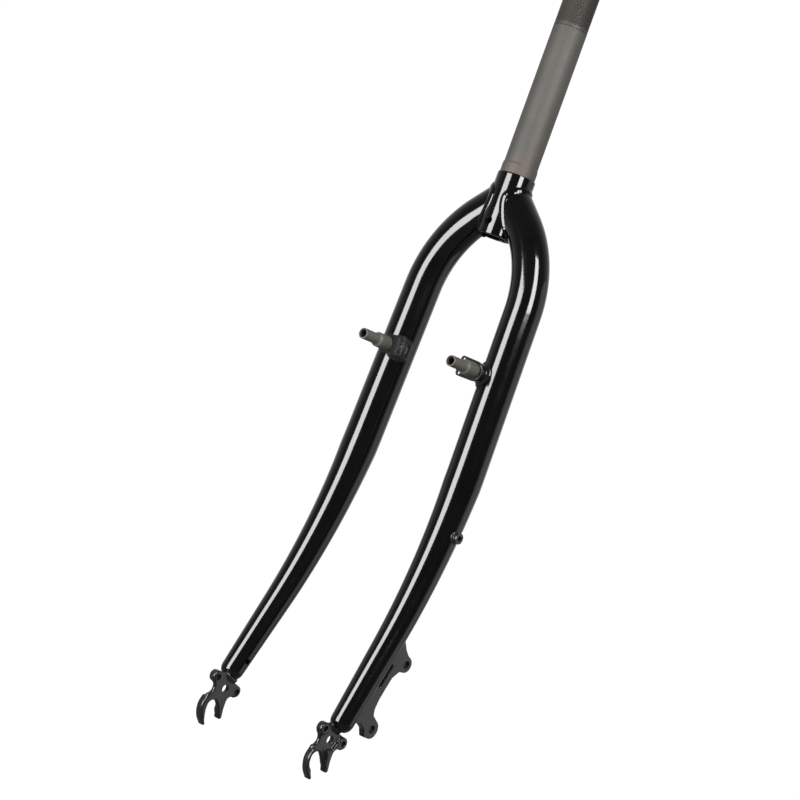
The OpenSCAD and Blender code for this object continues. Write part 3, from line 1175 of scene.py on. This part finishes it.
@dataclass
class BrakeStud:
    """Turned stud that a rim brake arm pivots on, with a threaded hole for its bolt."""

    side: Side
    stud_x: float = 41.8
    stud_z: float = -144.9
    reach: float = 52.4
    pivot_len: float = 15.4
    shoulder_r: float = 5.4
    pivot_r: float = 4.0
    front: float = 24.2
    tap_r: float = 2.5
    bore_len: float = 14.0
    tail_r: float = 3.4
    tail: float = 4.0
    thread_pitch: float = 0.8
    thread_depth: float = 0.32

    def build(self, steel: bpy.types.Material, dark: bpy.types.Material) -> bpy.types.Object:
        """Builds the stud.

        Args:
            steel: Finish of the turned outside.
            dark: Finish of the bolt hole.

        Returns:
            The stud.
        """
        step = self.reach - self.pivot_len
        deep = self.reach - self.bore_len
        outline = [
            (0.0, self.front - self.tail, 0),
            (self.tail_r, self.front - self.tail, 0.3),
            (self.tail_r, self.front, 0.0),
            (self.shoulder_r, self.front, 0.3),
            (self.shoulder_r, step - 1.4, 0.3),
            (self.pivot_r, step, 0.3),
            (self.pivot_r, self.reach, 0.5),
            (self.tap_r + 0.7, self.reach, 0.2),
            (self.tap_r, self.reach - 0.8, 0),
        ]
        thread, z = [], self.reach - 1.2
        while z > deep + 1.2:
            thread += [(self.tap_r, z), (self.tap_r, z - 0.3), (self.tap_r + self.thread_depth, z - 0.5)]
            z -= self.thread_pitch
        profile = rounded(outline) + thread + [(self.tap_r, deep), (0.0, deep - 1.2)]
        bm = bmesh.new()
        turned(bm, profile, 64)
        for face in bm.faces:
            middle = face.calc_center_median()
            hole = math.hypot(middle.x, middle.y) < (self.tap_r + 0.7) * MM and middle.z > (deep - 2) * MM
            face.material_index = int(hole)
        turn = Matrix.Rotation(math.pi / 2, 4, "X")
        place = Matrix.Translation(Vector((self.side.value * self.stud_x, 0, self.stud_z)) * MM)
        bmesh.ops.transform(bm, matrix=place @ turn, verts=bm.verts)
        name = f"{self.side.word}_brake_stud"
        return piece(f"{name}_body", bm, [steel, dark], [name], crease=30)


@dataclass
class BrakeBoss:
    """Boss, spring plate and weld that carry a brake stud on its blade."""

    side: Side
    stud_x: float = 41.8
    stud_z: float = -144.9
    foot_r: float = 8.5
    foot_y: float = 12.0
    neck_r: float = 6.0
    neck_y: float = 16.5
    points: int = 72

    def foot(self, angle: float) -> Vector:
        """Point where the foot of the boss meets the blade, at an angle round the stud."""
        r = self.foot_r
        for _ in range(8):
            x = self.stud_x + r * math.cos(angle)
            z = self.stud_z + r * math.sin(angle)
            middle, size = LINE.straight(z), LINE.radius(z)
            across = max(-0.96, min(0.96, (x - middle.x) / size))
            y = middle.y - size * math.sqrt(1 - across * across)
            slope = (self.foot_r - self.neck_r) / (self.neck_y - self.foot_y)
            r = max(self.neck_r, min(self.foot_r, self.foot_r - (-y - self.foot_y) * slope))
        return Vector((middle.x + across * size, y, z))

    def build(self, paint: bpy.types.Material) -> list[bpy.types.Object]:
        """Dresses the boss and the plate and lays the weld round the foot.

        Args:
            paint: Finish of the pieces.

        Returns:
            The two pieces.
        """
        word = self.side.word
        turns = [math.tau * i / self.points for i in range(self.points)]
        curve = [mirrored(self.foot(turn), self.side) for turn in turns]
        centre = Vector((self.side.value * self.stud_x, 0, 0))

        def outward(p: Vector) -> Vector:
            """Direction between the blade's skin and the boss."""
            blade = p - mirrored(LINE.straight(p.z), self.side)
            blade.z = 0
            away = Vector((p.x - centre.x, 0, p.z - self.stud_z))
            return blade.normalized() + away.normalized() * 0.6

        weld = partial(WeldBead(wide=2.2, high=1.2, pitch=2.6).fill, points=curve, outward=outward)
        return [
            forged(f"{word}_brake_boss", [paint], weld, [], passes=8),
            softened(f"{word}_spring_plate", paint, 0.3),
        ]


@dataclass
class HoseBoss:
    """Threaded boss for the brake hose guide, brazed to the outer side of the left blade."""

    drop: float = 259.0
    radius: float = 4.0
    clear: float = 0.2
    points: int = 48

    def build(self, paint: bpy.types.Material) -> list[bpy.types.Object]:
        """Dresses the boss and lays the fillet round it.

        Args:
            paint: Finish of the boss.

        Returns:
            The boss and its fillet.
        """
        start, r = LINE.straight(-self.drop), self.radius + self.clear
        curve = []
        for i in range(self.points):
            a = math.tau * i / self.points
            z = -self.drop + r * math.sin(a)
            middle, size = LINE.straight(z), LINE.radius(z)
            y = start.y + r * math.cos(a)
            curve.append(Vector((middle.x + math.sqrt(size**2 - (y - middle.y) ** 2), y, z)))

        def outward(p: Vector) -> Vector:
            """Direction between the blade's skin and the boss."""
            away = Vector((0, p.y - start.y, p.z - start.z))
            return Vector((1, 0, 0)) + away.normalized() * 0.7

        boss = softened("hose_boss", paint, 0.3)
        bead = WeldBead(wide=0.85, high=0.6, pitch=4, unrest=0.03)
        return [boss, bead.lay("hose_boss_fillet", paint, curve, outward)]


@dataclass
class Dropout:
    """Forged dropout with its eyelets, and the weld that closes the blade on it."""

    side: Side
    half_long: float = 5.4
    half_wide: float = 2.2
    weld_up: float = 1.2
    weld_x: float = 52.5
    fullness: float = 0.6
    dip: float = 1.6
    points: int = 64
    flare: float = 0.1
    holes: tuple[tuple[Pair, Pair, float], ...] = (
        ((-4.2, 21.9), (50.5, 56.5), 2.1),
        ((19.8, 13.8), (50.5, 56.5), 2.1),
        ((7.2, 14.4), (50.9, 54.1), 3.2),
    )

    def build(self, finish: bpy.types.Material) -> bpy.types.Object:
        """Dresses the dropout and lays the weld.

        Args:
            finish: Finish of the dropout.

        Returns:
            The dropout with its weld.
        """
        word, z = self.side.word, -LINE.tip_drop + self.weld_up
        middle, above = LINE.straight(z), LINE.straight(z + 4)
        down = (middle - above).normalized()
        across = Vector((0, 1, 0)) - down * down.y
        across.normalize()
        plate = Vector((self.weld_x, middle.y, middle.z))
        out = Vector((1, 0, 0))
        curve = []
        for i in range(self.points):
            a = math.tau * i / self.points
            bulge = abs(math.cos(a)) ** self.fullness * math.copysign(1, math.cos(a))
            thick = abs(math.sin(a)) ** self.fullness * math.copysign(1, math.sin(a))
            sag = self.dip * abs(math.sin(a))
            p = plate + across * self.half_long * bulge + out * self.half_wide * thick + down * sag
            curve.append(mirrored(p, self.side))
        centre = mirrored(plate, self.side)
        low = mirrored(down, self.side)

        def outward(p: Vector) -> Vector:
            """Direction away from the plate and down the blade."""
            return (p - centre).normalized() + low * 0.5

        bead = WeldBead(wide=1.9, high=1.3, pitch=3.2, unrest=0.12)
        weld = partial(bead.fill, points=curve, outward=outward)
        holes = [across_plate(self.side, *hole, (self.flare, self.flare)) for hole in self.holes]
        return forged(f"{word}_dropout", [finish], weld, holes)


@dataclass
class DiscTab:
    """Tab of the disc brake caliper, welded to the back of the left blade."""

    inner_x: float = 51.0
    outer_x: float = 56.0
    top_z: float = -337.6
    low_z: float = -401.0
    holes: tuple[Pair, ...] = ((45.1, 27.3), (57.56, 76.755))
    hole_r: float = 2.85
    flares: Pair = (0.02, 0.33)
    beside: float = 0.3
    beyond: float = 0.8
    side_points: int = 40
    end_chords: int = 6

    def skin(self, x: float, z: float) -> Vector:
        """Point on the rear of the blade at the given X and height."""
        middle, size = LINE.straight(z), LINE.radius(z)
        return Vector((x, middle.y + math.sqrt(max(0.0, size**2 - (x - middle.x) ** 2)), z))

    def build(self, finish: bpy.types.Material, tapped: bpy.types.Material) -> bpy.types.Object:
        """Dresses the tab and lays the weld round its root.

        Args:
            finish: Finish of the tab.
            tapped: Finish of its bolt holes.

        Returns:
            The tab with its weld.
        """
        curve, last = [], self.side_points - 1
        for near, far, start, end in (
            (self.outer_x, self.inner_x, self.top_z, self.low_z),
            (self.inner_x, self.outer_x, self.low_z, self.top_z),
        ):
            x = near + math.copysign(self.beside, near - far)
            curve += [self.skin(x, start + (end - start) * i / last) for i in range(last + 1)]
            z = end + math.copysign(self.beyond, end - start)
            chords = self.end_chords
            curve += [self.skin(near + (far - near) * i / chords, z) for i in range(1, chords)]
        middle = (self.inner_x + self.outer_x) / 2

        def outward(p: Vector) -> Vector:
            """Direction away from the blade and from the tab."""
            return Vector((math.copysign(0.7, p.x - middle), 1, 0))

        faces = (self.inner_x, self.outer_x)
        holes = [across_plate(Side.LEFT, place, faces, self.hole_r, self.flares) for place in self.holes]
        bead = WeldBead(wide=1.8, high=1.0, pitch=3.0, unrest=0.1)
        weld = partial(bead.fill, points=curve, outward=outward)
        return forged("disc_tab", [finish, tapped], weld, holes, passes=10)


@dataclass(frozen=True)
class Camera:
    """Camera at the place that a fit to the outlines in the photograph gives."""

    place: tuple[float, float, float] = (952.476, -1196.225, -223.961)
    right: tuple[float, float, float] = (0.73203, 0.58968, 0.34120)
    up: tuple[float, float, float] = (-0.24664, -0.23747, 0.93956)
    lens: float = 95.494
    sensor: float = 36.0
    clip_end: float = 60.0

    def make(self) -> bpy.types.Object:
        """Builds the camera and makes it the scene's."""
        data = bpy.data.cameras.new("photograph_view")
        data.lens, data.sensor_width, data.clip_end = self.lens, self.sensor, self.clip_end
        right, up = Vector(self.right).normalized(), Vector(self.up)
        back = right.cross(up).normalized()
        up = back.cross(right)
        place = Vector(self.place) * MM
        camera = bpy.data.objects.new("photograph_view", data)
        camera.matrix_world = axes(right, up, back, place)
        bpy.context.scene.collection.objects.link(camera)
        bpy.context.scene.camera = camera
        return camera


@dataclass(frozen=True)
class Softbox:
    """Upright soft panel, a lamp or a pale card, that shows as a stripe in the enamel."""

    name: str
    centre: tuple[float, float, float]
    heading: float
    wide: float
    tall: float
    radiance: float

    def make(self) -> bpy.types.Object:
        """Builds the lamp."""
        data = bpy.data.lights.new(self.name, "AREA")
        data.shape, data.size, data.size_y = "RECTANGLE", self.wide * MM, self.tall * MM
        data.energy = self.radiance * math.pi * self.wide * self.tall * MM**2
        turn = math.radians(self.heading)
        back = Vector((math.sin(turn), -math.cos(turn), 0))
        up = Vector((0, 0, 1))
        right = up.cross(back)
        place = Vector(self.centre) * MM
        lamp = bpy.data.objects.new(self.name, data)
        lamp.matrix_world = axes(right, up, back, place)
        bpy.context.scene.collection.objects.link(lamp)
        lamp.visible_camera = False
        return lamp


@dataclass(frozen=True)
class Studio:
    """Plain white studio with two softboxes, and a pale card behind the fork.

    The camera sees an even white floor and backdrop. The fork mirrors the walls of the room, which
    are pale behind it and fall off towards the dark front. That is what keeps the face of the
    enamel black and its rims grey.
    """
    floor_z: float = -0.95
    radius: float = 9.0
    paper: float = 1.02
    front: tuple[float, float, float] = (0.635, -0.772, 0.0)
    walls: tuple[Pair, ...] = (
        (-9.0, 0.95),
        (-6.0, 0.6),
        (-4.0, 0.42),
        (-1.8, 0.3),
        (0.3, 0.15),
        (2.5, 0.09),
        (9.0, 0.05),
    )
    lamps: tuple[Softbox, ...] = (
        Softbox("key_softbox", (-130, -910, -215), -9, 480, 770, 16.0),
        Softbox("side_softbox", (974, -393, 532), 68, 420, 936, 19.0),
        Softbox("rear_card", (1151, 1111, -200), 134, 920, 1800, 0.6),
    )

    def shell(self, name: str, levels: Sequence[Pair], in_view: bool) -> bpy.types.Object:
        """Builds a shell of glowing paper round the fork.

        Args:
            name: Name of the shell.
            levels: Distance towards the front, in metres, with the light given there.
            in_view: Whether the camera sees it; the fork sees the other one.

        Returns:
            The shell.
        """
        bm = bmesh.new()
        bmesh.ops.create_uvsphere(bm, u_segments=64, v_segments=32, radius=self.radius)
        for v in bm.verts:
            v.co.z = max(v.co.z, self.floor_z)
        bmesh.ops.reverse_faces(bm, faces=bm.faces)
        for face in bm.faces:
            face.smooth = True
        material = bpy.data.materials.new(f"white_paper_of_{name}")
        material.use_nodes = True
        tree = material.node_tree
        tree.nodes.clear()
        place = add(tree, "ShaderNodeTexCoord").outputs["Object"]
        along = {"operation": "DOT_PRODUCT", 1: self.front}
        ahead = add(tree, "ShaderNodeVectorMath", along, {0: place}).outputs["Value"]
        share = spread(tree, ahead, (-self.radius, self.radius), (0.0, 1.0))
        tone = ramp(
            add(tree, "ShaderNodeValToRGB", links={"Fac": share}),
            [((at / self.radius + 1) / 2, (level, level, level, 1)) for at, level in levels],
        )
        paper = add(tree, "ShaderNodeEmission", {"Strength": 1.0}, {"Color": tone.outputs["Color"]})
        add(tree, "ShaderNodeOutputMaterial", links={"Surface": paper.outputs[0]})
        made = placed(name, bm, [material])
        made.visible_camera = in_view
        made.visible_glossy = made.visible_diffuse = made.visible_transmission = not in_view
        made.visible_shadow = False
        return made

    def make(self) -> None:
        """Builds the room, its light and the lamps."""
        even = ((-self.radius, self.paper), (self.radius, self.paper))
        self.shell("floor_and_backdrop", even, True)
        self.shell("room_walls", self.walls, False)
        world = bpy.data.worlds.new("unlit_room")
        world.use_nodes = True
        world.node_tree.nodes["Background"].inputs["Strength"].default_value = 0.0
        bpy.context.scene.world = world
        bpy.context.scene.view_settings.view_transform = "Standard"
        for lamp in self.lamps:
            lamp.make()


@dataclass
class CrownWelds:
    """Beads that join the blades to the sleeve."""

    paint: bpy.types.Material

    def build(self, side: Side, joint: Sequence[Vector]) -> bpy.types.Object:
        """Lays the bead of one blade.

        Args:
            side: Side of the blade.
            joint: Curve where the blade meets the sleeve.

        Returns:
            The bead.
        """
        start = mirrored(LINE.bend(math.radians(LINE.root_angle)), side)
        first = mirrored(LINE.bend(math.radians(LINE.root_angle - 4)), side)
        axis = (start - first).normalized()

        def outward(p: Vector) -> Vector:
            """Direction between the sleeve's skin and the blade's skin."""
            sleeve = Vector((p.x, p.y, 0)).normalized()
            away = p - start
            blade = (away - axis * away.dot(axis)).normalized()
            return sleeve + blade

        bead = WeldBead(wide=3.3, high=1.35, pitch=3.1)
        return bead.lay(f"{side.word}_crown_weld", self.paint, joint, outward)


def main() -> None:
    """Builds every piece of the fork and the studio round it."""
    logging.basicConfig(level=logging.INFO, format="%(name)s: %(message)s")
    # The fitting and forged enamels carry painted light in their lighter base colours.
    tube, sleeve, fitting = TUBE_ENAMEL.make(), SLEEVE_ENAMEL.make(), FITTING_ENAMEL_PAINTED_LIGHTER.make()
    forged_enamel_painted_lighter, bare, cut = FORGED_ENAMEL_PAINTED_LIGHTER.make(), BARE_TUBE.make(), CUT_THREAD.make()
    turned_steel, dark = TURNED_STUD.make(), BORE.make()
    Steerer().build(bare, cut, dark)
    CrownSleeve().build(sleeve)
    welds = CrownWelds(sleeve)
    for side in Side:
        _, joint = Blade(side).build(tube)
        welds.build(side, joint)
        BrakeBoss(side).build(fitting)
        BrakeStud(side).build(turned_steel, dark)
        Dropout(side).build(forged_enamel_painted_lighter)
    HoseBoss().build(fitting)
    DiscTab().build(forged_enamel_painted_lighter, dark)
    Studio().make()
    Camera().make()


if __name__ == "__main__":
    main()
